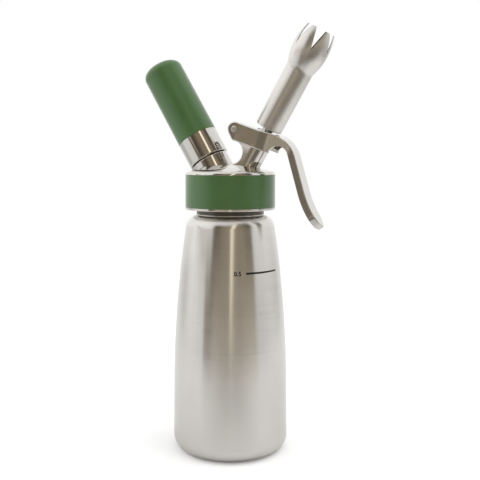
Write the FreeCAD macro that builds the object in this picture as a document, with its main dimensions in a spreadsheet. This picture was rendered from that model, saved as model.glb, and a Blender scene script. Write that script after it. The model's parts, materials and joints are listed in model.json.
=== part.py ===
import FreeCAD, Part
import math
import os

import Sketcher
from FreeCAD import Placement, Rotation, Vector

# A half-litre cream whipper: a drawn steel bottle, a screwed steel head with a leaning valve tower and a
# leaning gas inlet, a lever that pulls the valve open, a tulip tip and a screw-on gas charger holder.
#
# Frame: +Z up, origin on the bottle's axis in the plane it stands on. The valve and the lever lean to +X,
# the charger holder leans to -X, and the plane Y = 0 is the plane of symmetry.
#
# Everything on the head is drawn from one point, the crossing, where the bottle's axis, the valve's axis
# and the charger's axis meet. Pieces on the valve's axis are drawn upright and leaned by their Placement.

SIZES = {
    # bottle
    "body_radius": (39.0, "outside radius of the bottle's straight part"),
    "body_height": (159.5, "height of the shoulder's top"),
    "bottle_wall": (1.2, "wall of the drawn bottle"),
    "foot_round": (8.5, "outside rounding between side and base"),
    "foot_width": (3.0, "width of the flat ring that the bottle stands on"),
    "base_rise": (2.2, "how far the middle of the base is raised"),
    "straight_height": (40.0, "height at which the side starts to curve in"),
    "side_curve": (750.0, "radius of the long curve of the side"),
    "shoulder_round": (9.0, "outside radius of the shoulder"),
    "neck_radius": (23.9, "outside radius of the neck at its thread"),
    "neck_relief": (0.5, "how much smaller the neck is below its thread"),
    "neck_length": (21.5, "height of the neck above the shoulder"),
    "neck_thread": (6.0, "length of the thread at the top of the neck"),
    "neck_wall": (1.7, "wall of the neck at its thread"),
    # head
    "head_gap": (3.5, "gap between the shoulder and the head's lower rim"),
    "crossing_rise": (7.0, "height of the crossing above the head's lower rim"),
    "thread_gap": (0.3, "radial gap between the screw threads"),
    "collar_wall": (5.0, "wall of the head's collar behind the grip band"),
    "band_depth": (2.0, "depth of the grip band in the collar"),
    "rim_height": (1.6, "height of the bare rim below the grip band"),
    "band_top": (17.0, "top of the grip band above the crossing"),
    "lip_top": (19.6, "top of the collar's lip above the crossing"),
    "lip_round": (2.4, "rounding of the lip"),
    "dome_rise": (4.7, "rise of the dome above the lip"),
    "gasket_height": (2.2, "thickness of the head gasket"),
    "gasket_width": (3.2, "radial width of the head gasket"),
    "ceiling": (19.0, "height of the flat ceiling inside the head above the crossing"),
    # valve tower and fin
    "valve_lean": (30.5, "lean of the valve's axis from upright, in degrees"),
    "stem_radius": (3.6, "outside radius of the valve stem"),
    "stem_gap": (0.05, "radial running gap of the stem in its bore"),
    "stem_bore": (1.8, "radius of the passage in the stem"),
    "stem_wall": (0.9, "wall of the stem at its cream ports"),
    "stem_stand": (2.5, "how far the stem stands above the boss in the tip"),
    "seat_height": (22.0, "valve seat, measured along the valve's axis"),
    "seal_radius": (5.8, "outside radius of the valve seal"),
    "seal_height": (2.0, "thickness of the valve seal"),
    "seal_room": (1.1, "room round the valve seal"),
    "tower_radius": (8.0, "outside radius of the valve tower"),
    "tower_top": (46.5, "top of the valve tower along the valve's axis"),
    "chamber_floor": (37.8, "floor of the spring chamber along the valve's axis"),
    "wire_radius": (0.45, "radius of the valve spring's wire"),
    "spring_gap": (0.45, "gap between the valve spring and the wall of its chamber"),
    "waist_wall": (1.2, "thinnest wall between the stem's bore and the fin's hollow"),
    "waist_round": (7.6, "radius of the fin's hollow back"),
    "waist_height": (30.4, "height of that hollow's centre along the valve's axis"),
    "waist_edge": (1.0, "rounding of the hollow's edges"),
    "fin_half": (3.9, "half thickness of the fin at the pivot"),
    # lever
    "pivot_out": (19.1, "distance of the lever's pivot from the valve's axis"),
    "pivot_height": (44.8, "height of the lever's pivot along the valve's axis"),
    "pin_radius": (1.75, "radius of the pivot pin"),
    "pin_gap": (0.04, "radial running gap of the lever on its pin"),
    "pin_lip": (0.55, "how far the pin's heads stand out beyond its shank"),
    "eye_wall": (1.65, "wall of the fin around the pin"),
    "web_gap": (0.3, "gap between the lever's web and the fin's eye"),
    "plate": (1.5, "thickness of the lever's web and cheeks"),
    "slot_gap": (0.4, "gap between the stem and the sides of the web's slot"),
    "web_lift": (12.5, "angle between the web and the valve's cross section, in degrees"),
    "cheek_depth": (7.7, "depth of the cheeks below the pivot"),
    "cheek_gap": (0.75, "gap between the cheeks and the fin"),
    "fork_end": (27.0, "where the fork starts to narrow, from the pivot along the web"),
    "web_length": (41.1, "length of the web from the pivot to the corner of the handle"),
    "notch_round": (6.5, "radius of the notch between the cheeks and the handle"),
    "handle_angle": (56.3, "angle of the handle below the web, in degrees"),
    "handle_length": (44.5, "length of the handle's upper stretch"),
    "flare_angle": (39.5, "angle of the handle's flared end below the web, in degrees"),
    "flare_length": (17.2, "length of the flared end"),
    "handle_thick": (4.7, "thickness of the handle"),
    "handle_half": (6.0, "half width of the handle"),
    "end_taper": (10.5, "length over which the handle's end narrows to its nose"),
    "end_nose": (2.2, "radius of that nose"),
    "end_round": (4.0, "rounding of the end's inner side"),
    "corner_round": (22.0, "outside radius where the web turns into the handle"),
    "nut_round": (12.0, "radius of the domed top of the spring nut"),
    "nut_radius": (5.4, "outside radius of the spring nut"),
    "nut_height": (4.2, "height of the spring nut at its edge"),
    "nut_gap": (0.25, "gap between the nut's dome and the web at rest"),
    # decorating tip
    "tip_gap": (0.5, "gap between the tip's foot and the web"),
    "tip_radius": (9.5, "outside radius of the tip's tube"),
    "tip_wall": (0.9, "wall of the tip"),
    "tip_tube": (43.5, "length of the tip's straight tube"),
    "tip_length": (74.0, "length of the whole tip"),
    "flare_rise": (2.4, "length of the hollow curve where the tulip opens"),
    "flare_round": (8.0, "radius of that hollow curve"),
    "tulip_round": (40.0, "outside radius of the tulip's swell"),
    "mouth_radius": (9.7, "outside radius of the tulip's mouth"),
    "notch_depth": (15.0, "depth of the cuts between the petals"),
    "notch_half": (3.5, "half width of a cut at the mouth"),
    "petal_turn": (23.0, "turn of the petals about the tip's axis, in degrees"),
    "boss_height": (6.5, "height of the threaded boss in the tip's foot"),
    # gas inlet and charger holder
    "holder_lean": (31.0, "lean of the charger's axis from upright, in degrees"),
    "holder_radius": (14.4, "outside radius of the charger holder"),
    "holder_gap": (0.35, "gap between the holder's rim and the head's lip"),
    "hub_radius": (13.4, "radius of the inlet hub under the holder"),
    "hub_gap": (0.5, "gap between the hub and the holder's rim"),
    "sleeve_bare": (18.0, "bare length of the holder's steel sleeve"),
    "grip_wall": (2.2, "wall of the holder's silicone grip"),
    "grip_round": (6.0, "rounding of the grip's end"),
    "sleeve_end": (1.6, "end wall of the steel sleeve"),
    "nipple_radius": (10.9, "radius of the inlet nipple at its thread"),
    "nipple_relief": (0.6, "how much smaller the nipple is below its thread"),
    "nipple_thread": (5.7, "length of the nipple's thread"),
    "thread_rise": (8.6, "height of that thread above the foot of the holder"),
    "neck_reach": (5.5, "how far the charger's neck reaches into the nipple"),
    "charger_radius": (9.0, "radius of the gas charger"),
    "charger_gap": (0.3, "radial gap between charger and holder"),
    "charger_length": (65.0, "length of the gas charger"),
    "charger_play": (0.15, "gap behind the end of the charger"),
    "charger_neck": (3.75, "radius of the charger's neck"),
    "charger_mouth": (2.0, "radius of the opening in the charger's neck"),
    "charger_wall": (1.5, "wall of the charger"),
    "needle_radius": (1.0, "radius of the piercing pin"),
    "needle_reach": (2.3, "how far the piercing pin enters the charger"),
    "carrier_height": (5.2, "height of the plug that carries the piercing pin"),
    "recess_gap": (0.45, "gap round the charger's neck in the nipple"),
    "seat_ring": (1.8, "thickness of the gasket under the charger's neck"),
    "inlet_bore": (1.6, "radius of the gas passage"),
    "spigot_low": (13.0, "lower end of the check valve's spigot, along the charger's axis"),
    "spigot_radius": (3.4, "radius of the spigot under the check valve's sleeve"),
}

THREAD_LEAD = 0.5       # chamfer at the start of a thread
EDGE = 0.8              # small rounding of turned edges
PETALS = 6
SPRING_TURNS = 4

doc = FreeCAD.newDocument("cream_whipper")
sheet = doc.addObject("Spreadsheet::Sheet", "sizes")
for row, (alias, (value, note)) in enumerate(SIZES.items(), start=1):
    sheet.set(f"A{row}", note)
    sheet.set(f"B{row}", str(value))
    sheet.setAlias(f"B{row}", alias)
doc.recompute()


class Size:
    """A number, together with the expression that works it out from the sheet."""

    def __init__(self, value, text):
        self.value = value
        self.text = text

    def __add__(self, other):
        other = as_size(other)
        return Size(self.value + other.value, f"({self.text} + {other.text})")

    def __sub__(self, other):
        other = as_size(other)
        return Size(self.value - other.value, f"({self.text} - {other.text})")

    def __mul__(self, other):
        other = as_size(other)
        return Size(self.value * other.value, f"({self.text} * {other.text})")

    def __truediv__(self, other):
        other = as_size(other)
        return Size(self.value / other.value, f"({self.text} / {other.text})")

    def __neg__(self):
        return as_size(0) - self

    def __radd__(self, other):
        return as_size(other) + self

    def __rsub__(self, other):
        return as_size(other) - self

    def __rmul__(self, other):
        return as_size(other) * self


def as_size(item):
    return item if isinstance(item, Size) else Size(float(item), str(float(item)))


def size(alias):
    return Size(SIZES[alias][0], f"sizes.{alias}")


def sine(angle):
    return Size(math.sin(math.radians(angle.value)), f"sin({angle.text})")


def cosine(angle):
    return Size(math.cos(math.radians(angle.value)), f"cos({angle.text})")


def root(item):
    return Size(math.sqrt(item.value), f"sqrt({item.text})")


# ---------------------------------------------------------------- sketches

def as_vector(x, y):
    return Vector(as_size(x).value, as_size(y).value, 0)


def fix_number(sketch, kind, geometry, point, amount):
    """A dimension bound to its expression. A length of nothing becomes a point on the sketch's own axis."""
    amount = as_size(amount)
    if kind != "Radius" and amount.value == 0:
        axis = -2 if kind == "DistanceX" else -1
        sketch.addConstraint(Sketcher.Constraint("PointOnObject", geometry, point, axis))
        return
    if kind == "Radius":
        number = sketch.addConstraint(Sketcher.Constraint(kind, geometry, amount.value))
    else:
        number = sketch.addConstraint(Sketcher.Constraint(kind, geometry, point, amount.value))
    sketch.setExpression(f"Constraints[{number}]", amount.text)


def fix_point(sketch, geometry, point, x, y):
    fix_number(sketch, "DistanceX", geometry, point, x)
    fix_number(sketch, "DistanceY", geometry, point, y)


def arc_between(start, end, radius):
    """The short arc from start to end, which turns left where radius is positive and right where not."""
    chord = end - start
    middle = (start + end) * 0.5
    across = Vector(-chord.y, chord.x, 0).normalize()
    rise = math.sqrt(max(radius * radius - chord.Length ** 2 / 4, 0))
    centre = middle + across * math.copysign(rise, radius)
    first, last = (start, end) if radius > 0 else (end, start)
    begin = math.atan2(first.y - centre.y, first.x - centre.x)
    finish = math.atan2(last.y - centre.y, last.x - centre.x)
    if finish < begin:
        finish += 2 * math.pi
    return Part.ArcOfCircle(Part.Circle(centre, Vector(0, 0, 1), abs(radius)), begin, finish)


def draw_outline(sketch, path):
    """Draw a closed outline, fully dimensioned.

    Each entry of path is a corner (x, y), the end of an arc (x, y, "arc", radius), which turns left where
    radius is positive, or a corner between two straight sides that is rounded (x, y, "round", radius).
    """
    corners = [as_vector(entry[0], entry[1]) for entry in path]
    kinds = [entry[2] if len(entry) > 2 else "corner" for entry in path]
    radii = [as_size(entry[3]) if len(entry) > 3 else None for entry in path]
    count = len(path)
    arrive, leave = list(corners), list(corners)
    for i, kind in enumerate(kinds):
        if kind == "round":
            back = (corners[i - 1] - corners[i]).normalize()
            ahead = (corners[(i + 1) % count] - corners[i]).normalize()
            reach = radii[i].value / math.tan(back.getAngle(ahead) / 2)
            arrive[i] = corners[i] + back * reach
            leave[i] = corners[i] + ahead * reach
    joints = []     # for each entry: the end of the side that arrives, as (geometry, point)
    starts = []     # and the start of the side that leaves the entry before it
    for i in range(count):
        begin, end = leave[i - 1], arrive[i]
        if kinds[i] == "arc":
            turn = radii[i].value
            side = sketch.addGeometry(arc_between(begin, end, turn))
            radius = radii[i] if turn > 0 else -radii[i]
            fix_number(sketch, "Radius", side, None, radius)
            starts.append((side, 1 if turn > 0 else 2))
            joints.append((side, 2 if turn > 0 else 1))
        else:
            side = sketch.addGeometry(Part.LineSegment(begin, end))
            starts.append((side, 1))
            joints.append((side, 2))
    for i in range(count):
        inward, outward = joints[i], starts[(i + 1) % count]
        if kinds[i] != "round":
            sketch.addConstraint(Sketcher.Constraint("Coincident", *inward, *outward))
            fix_point(sketch, *inward, path[i][0], path[i][1])
            continue
        left = (leave[i] - corners[i]).cross(arrive[i] - corners[i]).z > 0
        turn = radii[i].value if left else -radii[i].value
        bend = sketch.addGeometry(arc_between(arrive[i], leave[i], turn))
        begin, end = (1, 2) if left else (2, 1)
        corner = sketch.addGeometry(Part.Point(corners[i]), True)
        sketch.addConstraint(Sketcher.Constraint("Tangent", *inward, bend, begin))
        sketch.addConstraint(Sketcher.Constraint("Tangent", *outward, bend, end))
        sketch.addConstraint(Sketcher.Constraint("PointOnObject", corner, 1, inward[0]))
        sketch.addConstraint(Sketcher.Constraint("PointOnObject", corner, 1, outward[0]))
        fix_number(sketch, "Radius", bend, None, radii[i])
        fix_point(sketch, corner, 1, path[i][0], path[i][1])


def draw_circle(sketch, x, y, radius):
    circle = sketch.addGeometry(Part.Circle(as_vector(x, y), Vector(0, 0, 1), as_size(radius).value))
    fix_number(sketch, "Radius", circle, None, radius)
    fix_point(sketch, circle, 3, x, y)


def new_sketch(body, plane):
    sketch = body.newObject("Sketcher::SketchObject", "Outline")
    sketch.AttachmentSupport = (
        next(f for f in body.Origin.OriginFeatures if f.Role == plane),
        [""],
    )
    sketch.MapMode = "FlatFace"
    return sketch


def lean_sketch(sketch, axis, angle):
    """Turn a sketch about an axis through its origin, given in the sketch's own directions."""
    sketch.AttachmentOffset = Placement(Vector(0, 0, 0), Rotation(axis, angle.value))
    sketch.setExpression("AttachmentOffset.Rotation.Angle", angle.text)


# ---------------------------------------------------------------- bodies and features

PIECES = []


def name_piece(item, name):
    item.Label = name
    PIECES.append(item)
    return item


def place(item, rise=None, axis=None, angle=None, shift=None):
    """Raise an object, lean it about an axis, and move it sideways, all by expression."""
    turn = Rotation(axis, angle.value) if axis else Rotation()
    item.Placement = Placement(Vector(0, 0, 0), turn)
    if axis:
        item.setExpression("Placement.Rotation.Angle", angle.text)
    if shift is not None:
        item.setExpression("Placement.Base.x", shift.text)
    if rise is not None:
        item.setExpression("Placement.Base.z", rise.text)
    return item


def new_body(name):
    return name_piece(doc.addObject("PartDesign::Body", name), name)


def add_feature(body, kind, sketch):
    """Add a feature made from a sketch. Returns it and the solid's volume before it."""
    before = body.Shape.Volume if body.Tip else 0
    feature = body.newObject(f"PartDesign::{kind}", kind)
    feature.Profile = sketch
    return feature, before


def check_change(body, before, grows):
    """Recompute, and stop if the newest feature didn't add or take away material as it should."""
    doc.recompute()
    change = body.Shape.Volume - before
    if (change > 0) != grows or abs(change) < 1e-3:
        raise RuntimeError(f"{body.Label}: a feature changed the volume by {change}")


def turn_outline(body, path, lean=None, cut=False):
    """Revolve an outline about the upright axis of its sketch, which may lean in the plane Y = 0."""
    sketch = new_sketch(body, "XZ_Plane")
    if lean:
        lean_sketch(sketch, *lean)
    draw_outline(sketch, path)
    feature, before = add_feature(body, "Groove" if cut else "Revolution", sketch)
    feature.ReferenceAxis = (sketch, ["V_Axis"])
    check_change(body, before, not cut)
    return feature


def cut_through(body, sketch):
    feature, before = add_feature(body, "Pocket", sketch)
    feature.Type = "ThroughAll"
    feature.SideType = "Symmetric"
    check_change(body, before, False)
    return feature


def pad_both_ways(body, sketch, width):
    feature, before = add_feature(body, "Pad", sketch)
    feature.SideType = "Symmetric"
    feature.setExpression("Length", width.text)
    check_change(body, before, True)
    return feature


def round_edges(body, radius, wanted):
    """Fillet the edges of the tip that the function wanted picks."""
    base = body.Tip
    names = [f"Edge{i}" for i, edge in enumerate(base.Shape.Edges, start=1) if wanted(edge)]
    if not names:
        raise RuntimeError(f"{body.Label}: no edge to round")
    fillet = body.newObject("PartDesign::Fillet", "Fillet")
    fillet.Base = (base, names)
    fillet.setExpression("Radius", as_size(radius).text)
    doc.recompute()
    return fillet


# ---------------------------------------------------------------- shared places

crossing = size("body_height") + size("head_gap") + size("crossing_rise")
rim_low = -size("crossing_rise")
collar_bore = size("neck_radius") + size("thread_gap")
band_inside = collar_bore + size("collar_wall")
head_radius = band_inside + size("band_depth")
band_low = rim_low + size("rim_height")
dome_edge = head_radius - size("lip_round")
dome_top = size("lip_top") + size("dome_rise")
dome_round = (dome_edge * dome_edge + size("dome_rise") * size("dome_rise")) / (2 * size("dome_rise"))
neck_top = size("body_height") + size("neck_length")
seat_low = neck_top - crossing                      # the gasket's underside, from the crossing
gasket_top = seat_low + size("gasket_height")

VALVE_LEAN = (Vector(0, 1, 0), size("valve_lean"))
HOLDER_LEAN = (Vector(0, -1, 0), size("holder_lean"))
VALVE_SKETCH_LEAN = (Vector(0, 0, -1), size("valve_lean"))
HOLDER_SKETCH_LEAN = (Vector(0, 0, 1), size("holder_lean"))

stem_hole = size("stem_radius") + size("stem_gap")
chamber_radius = size("nut_radius") + size("thread_gap")
eye_radius = size("pin_radius") + size("eye_wall")
web_under = eye_radius + size("web_gap")            # underside of the web, above the pivot
web_top = web_under + size("plate")
slot_half = size("stem_radius") + size("slot_gap")
pin_head = size("pin_radius") + size("pin_lip")
eye_flat = pin_head + 0.3                           # how far from the pivot the cheeks start to spread
nut_slice = root(size("nut_round") * size("nut_round") - slot_half * slot_half)
web_rise = size("pivot_out") * sine(size("web_lift"))
nut_centre = size("pivot_height") + (
    web_under + web_rise - nut_slice - size("nut_gap")
) / cosine(size("web_lift"))
nut_top = nut_centre + size("nut_round")
nut_edge = nut_centre + root(
    size("nut_round") * size("nut_round") - size("nut_radius") * size("nut_radius")
)
nut_low = nut_edge - size("nut_height")
web_at_tip = size("pivot_height") + (
    web_top + (size("pivot_out") + size("tip_radius")) * sine(size("web_lift"))
) / cosine(size("web_lift"))
tip_foot = web_at_tip + size("tip_gap")
ring_seat = tip_foot + size("boss_height")
stem_top = ring_seat + size("stem_stand")

rim_z = size("lip_top") + size("holder_gap")         # lowest point of the holder's rim
rim_x = (rim_z * sine(size("holder_lean")) + size("holder_radius")) / cosine(size("holder_lean"))
dome_under_rim = size("dome_rise") * (1 - rim_x * rim_x / (dome_edge * dome_edge))
holder_foot = (
    rim_z + dome_under_rim + size("holder_radius") * sine(size("holder_lean"))
) / cosine(size("holder_lean"))
hub_top = holder_foot - size("hub_gap")
thread_low = holder_foot + size("thread_rise")
thread_top = thread_low + size("nipple_thread")
nipple_top = thread_top + THREAD_LEAD
charger_tip = nipple_top - size("neck_reach")
charger_end = charger_tip + size("charger_length")
carrier_top = charger_tip - size("seat_ring")
carrier_low = carrier_top - size("carrier_height")
spigot_low = size("spigot_low")
recess = size("charger_neck") + size("recess_gap")
sleeve_bore = size("charger_radius") + size("charger_gap")
sleeve_core = size("holder_radius") - size("grip_wall")


# ---------------------------------------------------------------- bottle

def side_arcs(inset):
    """Centre and radius of the side curve and of the shoulder, and the point where they meet."""
    side_x = size("body_radius") - size("side_curve")
    side_z = size("straight_height")
    side_r = size("side_curve") - inset
    shoulder_r = size("shoulder_round") - inset
    shoulder_z = size("body_height") - size("shoulder_round")
    drop = shoulder_z - side_z
    reach = size("side_curve") - size("shoulder_round")
    run = root(reach * reach - drop * drop)
    shoulder_x = side_x + run
    meet = (side_x + run * side_r / reach, side_z + drop * side_r / reach)
    return side_r, shoulder_r, shoulder_x, shoulder_z, meet


def make_bottle():
    """A drawn bottle: foot ring, raised base, long curved side, round shoulder, threaded neck."""
    body = new_body("bottle")
    wall = size("bottle_wall")
    outer = size("body_radius")
    thread = size("neck_radius")
    below = thread - size("neck_relief")
    mouth = thread - size("neck_wall")
    thread_foot = neck_top - size("neck_thread")
    side_r, round_r, round_x, round_z, meet = side_arcs(as_size(0))
    in_side_r, in_round_r, _, _, in_meet = side_arcs(wall)
    foot_out = outer - size("foot_round")
    foot_in = foot_out - size("foot_width")
    rise = size("base_rise")
    neck_foot = round_z + root(round_r * round_r - (below - round_x) * (below - round_x))
    in_foot = round_z + root(in_round_r * in_round_r - (mouth - round_x) * (mouth - round_x))
    path = [
        (0, rise),
        (foot_in - rise, rise, "round", 3.0),
        (foot_in, 0),
        (foot_out, 0),
        (outer, size("foot_round"), "arc", size("foot_round")),
        (outer, size("straight_height")),
        (*meet, "arc", side_r),
        (below, neck_foot, "arc", round_r),
        (below, thread_foot),
        (thread, thread_foot + THREAD_LEAD),
        (thread, neck_top - THREAD_LEAD),
        (thread - THREAD_LEAD, neck_top),
        (mouth, neck_top),
        (mouth, in_foot),
        (*in_meet, "arc", -in_round_r),
        (outer - wall, size("straight_height"), "arc", -in_side_r),
        (outer - wall, size("foot_round")),
        (foot_out, wall, "arc", wall - size("foot_round")),
        (foot_in, wall),
        (foot_in - rise, rise + wall, "round", 3.0),
        (0, rise + wall),
    ]
    turn_outline(body, path)


# ---------------------------------------------------------------- head

def make_gasket():
    body = place(new_body("head_gasket"), crossing)
    outer = size("neck_radius")
    inner = outer - size("gasket_width")
    path = [(inner, seat_low), (outer, seat_low), (outer, gasket_top), (inner, gasket_top)]
    turn_outline(body, path)


def fin_flank(out):
    """Half thickness of the fin at a distance from the pivot towards the valve's axis."""
    slope = (size("tower_radius") - size("fin_half")) / size("pivot_out")
    straight = root(1 - slope * slope)
    return (size("fin_half") + out * slope) / straight


def add_fin(body):
    """Tower and fin in one drop-shaped column, trimmed in side view to a hollow back and a pivot eye."""
    column = new_sketch(body, "XY_Plane")
    lean_sketch(column, *VALVE_LEAN)
    pivot = -size("pivot_out")
    slope = (size("tower_radius") - size("fin_half")) / size("pivot_out")
    straight = root(1 - slope * slope)
    tower_x = -size("tower_radius") * slope
    tower_y = size("tower_radius") * straight
    back_x = pivot - size("fin_half") * slope
    back_y = size("fin_half") * straight
    nose = pivot - size("fin_half")
    draw_outline(
        column,
        [
            (tower_x, -tower_y),
            (size("tower_radius"), 0, "arc", size("tower_radius")),
            (tower_x, tower_y, "arc", size("tower_radius")),
            (back_x, back_y),
            (nose, 0, "arc", size("fin_half")),
            (back_x, -back_y, "arc", size("fin_half")),
        ],
    )
    feature, before = add_feature(body, "Pad", column)
    feature.setExpression("Length", (size("pivot_height") + 2 * eye_radius).text)
    check_change(body, before, True)

    view = new_sketch(body, "XZ_Plane")
    lean_sketch(view, *VALVE_SKETCH_LEAN)
    far = 2 * size("pivot_height")
    draw_outline(view, [(-far, -far), (far, -far), (far, far), (-far, far)])
    hollow_x = -(stem_hole + size("waist_wall") + size("waist_round"))
    hollow_z = size("waist_height")
    hollow_r = size("waist_round")
    lean = size("valve_lean")
    turn = math.radians(lean.value)
    centre = Vector(
        hollow_x.value * math.cos(turn) + hollow_z.value * math.sin(turn),
        0,
        hollow_z.value * math.cos(turn) - hollow_x.value * math.sin(turn),
    )
    foot_x = hollow_x + hollow_r * sine(lean)
    foot_z = hollow_z - hollow_r * cosine(lean)
    top_x = hollow_x + hollow_r * 0.2
    top_z = hollow_z + hollow_r * math.sqrt(1 - 0.2 ** 2)
    eye_back = 0.37         # sine and cosine of where the fin's back runs into the eye
    eye_down = math.sqrt(1 - eye_back ** 2)
    pivot_z = size("pivot_height")
    shoulder = tower_x - size("tower_radius") / 2
    draw_outline(
        view,
        [
            (foot_x + 6 * sine(lean), foot_z - 6 * cosine(lean)),
            (2 * size("tower_radius"), 12.0),
            (2 * size("tower_radius"), size("tower_top")),
            (shoulder, size("tower_top")),
            (pivot, pivot_z + eye_radius),
            (pivot - eye_radius, pivot_z, "arc", eye_radius),
            (pivot - eye_radius * eye_back, pivot_z - eye_radius * eye_down, "arc", eye_radius),
            (top_x, top_z),
            (hollow_x + hollow_r, hollow_z, "arc", -hollow_r),
            (foot_x, foot_z, "arc", -hollow_r),
        ],
    )
    cut_through(body, view)

    def is_hollow_edge(edge):
        """An edge between the fin's side and its hollow back, which runs round the hollow's centre."""
        points = edge.discretize(5)
        reach = [math.hypot(p.x - centre.x, p.z - centre.z) for p in points]
        across = edge.BoundBox.ZLength < 1e-3
        return not across and max(abs(r - hollow_r.value) for r in reach) < 1e-3

    round_edges(body, size("waist_edge"), is_hollow_edge)


def add_shell(body):
    """Collar and dome, turned from the solid."""
    turn_outline(
        body,
        [
            (0, rim_low),
            (head_radius, rim_low, "round", 0.5),
            (head_radius, band_low),
            (band_inside, band_low),
            (band_inside, size("band_top")),
            (head_radius, size("band_top")),
            (head_radius, size("lip_top") - size("lip_round")),
            (dome_edge, size("lip_top"), "arc", size("lip_round")),
            (0, dome_top, "arc", dome_round),
        ],
    )


def add_inlet(body):
    """Hub and threaded nipple for the charger holder."""
    nipple = size("nipple_radius")
    below = nipple - size("nipple_relief")
    turn_outline(
        body,
        [
            (0, 10.0),
            (size("hub_radius"), 10.0),
            (size("hub_radius"), hub_top, "round", EDGE),
            (below, hub_top),
            (below, thread_low),
            (nipple, thread_low + THREAD_LEAD),
            (nipple, thread_top),
            (nipple - THREAD_LEAD, nipple_top),
            (0, nipple_top),
        ],
        lean=HOLDER_SKETCH_LEAN,
    )


def hollow_head(body):
    """Bore for the neck, seat for the gasket and the space under the dome."""
    relief = collar_bore + size("neck_relief")
    thread_foot = seat_low - size("neck_thread")
    inside = size("neck_radius") - size("gasket_width") - 0.6
    turn_outline(
        body,
        [
            (0, rim_low - 1),
            (relief, rim_low - 1),
            (relief, thread_foot - THREAD_LEAD),
            (collar_bore, thread_foot),
            (collar_bore, gasket_top),
            (inside, gasket_top),
            (inside, size("ceiling"), "round", 3.0),
            (0, size("ceiling")),
        ],
        cut=True,
    )


def add_bosses(body):
    """The valve seat's boss and the check valve's spigot, which stand down from the ceiling."""
    turn_outline(
        body,
        [
            (0, size("seat_height")),
            (size("seal_radius") + 1.8, size("seat_height")),
            (size("seal_radius") + 1.8, size("seat_height") + 4.0),
            (0, size("seat_height") + 4.0),
        ],
        lean=VALVE_SKETCH_LEAN,
    )
    turn_outline(
        body,
        [
            (0, spigot_low),
            (size("spigot_radius"), spigot_low, "round", 0.6),
            (size("spigot_radius"), spigot_low + 5.0),
            (size("spigot_radius") + 2.0, spigot_low + 5.0),
            (size("spigot_radius") + 2.0, spigot_low + 9.0),
            (0, spigot_low + 9.0),
        ],
        lean=HOLDER_SKETCH_LEAN,
    )


def bore_head(body):
    """Valve bore with its seat and spring chamber, gas inlet with its ports, and the pivot hole."""
    clear = size("seal_radius") + size("seal_room")
    turn_outline(
        body,
        [
            (0, 10.0),
            (clear, 10.0),
            (clear, size("seat_height")),
            (stem_hole, size("seat_height")),
            (stem_hole, size("chamber_floor")),
            (chamber_radius, size("chamber_floor")),
            (chamber_radius, size("tower_top") + 1),
            (0, size("tower_top") + 1),
        ],
        lean=VALVE_SKETCH_LEAN,
        cut=True,
    )
    turn_outline(
        body,
        [
            (0, spigot_low + 1.5),
            (size("inlet_bore"), spigot_low + 1.5),
            (size("inlet_bore"), carrier_low),
            (recess, carrier_low),
            (recess, nipple_top + 1),
            (0, nipple_top + 1),
        ],
        lean=HOLDER_SKETCH_LEAN,
        cut=True,
    )
    ports = new_sketch(body, "XZ_Plane")
    lean_sketch(ports, *HOLDER_SKETCH_LEAN)
    draw_circle(ports, 0, spigot_low + 2.6, 0.8)
    feature, before = add_feature(body, "Pocket", ports)
    feature.SideType = "Symmetric"
    feature.setExpression("Length", (2 * size("spigot_radius") + 1).text)
    check_change(body, before, False)
    eye = new_sketch(body, "XZ_Plane")
    lean_sketch(eye, *VALVE_SKETCH_LEAN)
    draw_circle(eye, -size("pivot_out"), size("pivot_height"), size("pin_radius"))
    cut_through(body, eye)


def make_head():
    body = place(new_body("head_body"), crossing)
    add_fin(body)
    add_shell(body)
    add_inlet(body)
    hollow_head(body)
    add_bosses(body)
    bore_head(body)


def make_grip_band():
    body = place(new_body("head_grip_band"), crossing)
    turn_outline(
        body,
        [
            (band_inside, band_low),
            (head_radius, band_low, "round", 0.6),
            (head_radius, size("band_top"), "round", 0.6),
            (band_inside, size("band_top")),
        ],
    )


def make_inlet_pieces():
    """What sits in the nipple and on the spigot: pin carrier, piercing pin, charger seal, check valve."""
    needle = size("needle_radius")
    carrier = place(new_body("pin_carrier"), crossing, *HOLDER_LEAN)
    turn_outline(
        carrier,
        [(needle, carrier_low), (recess, carrier_low), (recess, carrier_top), (needle, carrier_top)],
    )
    gas_way = new_sketch(carrier, "XY_Plane")
    draw_circle(gas_way, (recess + needle) / 2, 0, 0.6)
    hole = cut_through(carrier, gas_way)
    ring = carrier.newObject("PartDesign::PolarPattern", "PolarPattern")
    ring.Originals = [hole]
    ring.Axis = (gas_way, ["N_Axis"])
    ring.Angle = 360
    ring.Occurrences = 3
    carrier.Tip = ring
    doc.recompute()

    pin = place(new_body("piercing_pin"), crossing, *HOLDER_LEAN)
    point = charger_tip + size("needle_reach")
    turn_outline(
        pin,
        [(0, carrier_low), (needle, carrier_low), (needle, point - 2 * needle), (0.15, point), (0, point)],
    )
    seal = place(new_body("charger_gasket"), crossing, *HOLDER_LEAN)
    turn_outline(
        seal,
        [
            (needle + 0.5, carrier_top),
            (recess - 0.1, carrier_top),
            (recess - 0.1, charger_tip),
            (needle + 0.5, charger_tip),
        ],
    )
    sleeve = place(new_body("check_valve_sleeve"), crossing, *HOLDER_LEAN)
    inner = size("spigot_radius")
    turn_outline(
        sleeve,
        [
            (inner, spigot_low + 1.0),
            (inner + 0.9, spigot_low + 1.0),
            (inner + 1.2, spigot_low + 4.6),
            (inner, spigot_low + 4.6),
        ],
    )


# ---------------------------------------------------------------- valve

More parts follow.
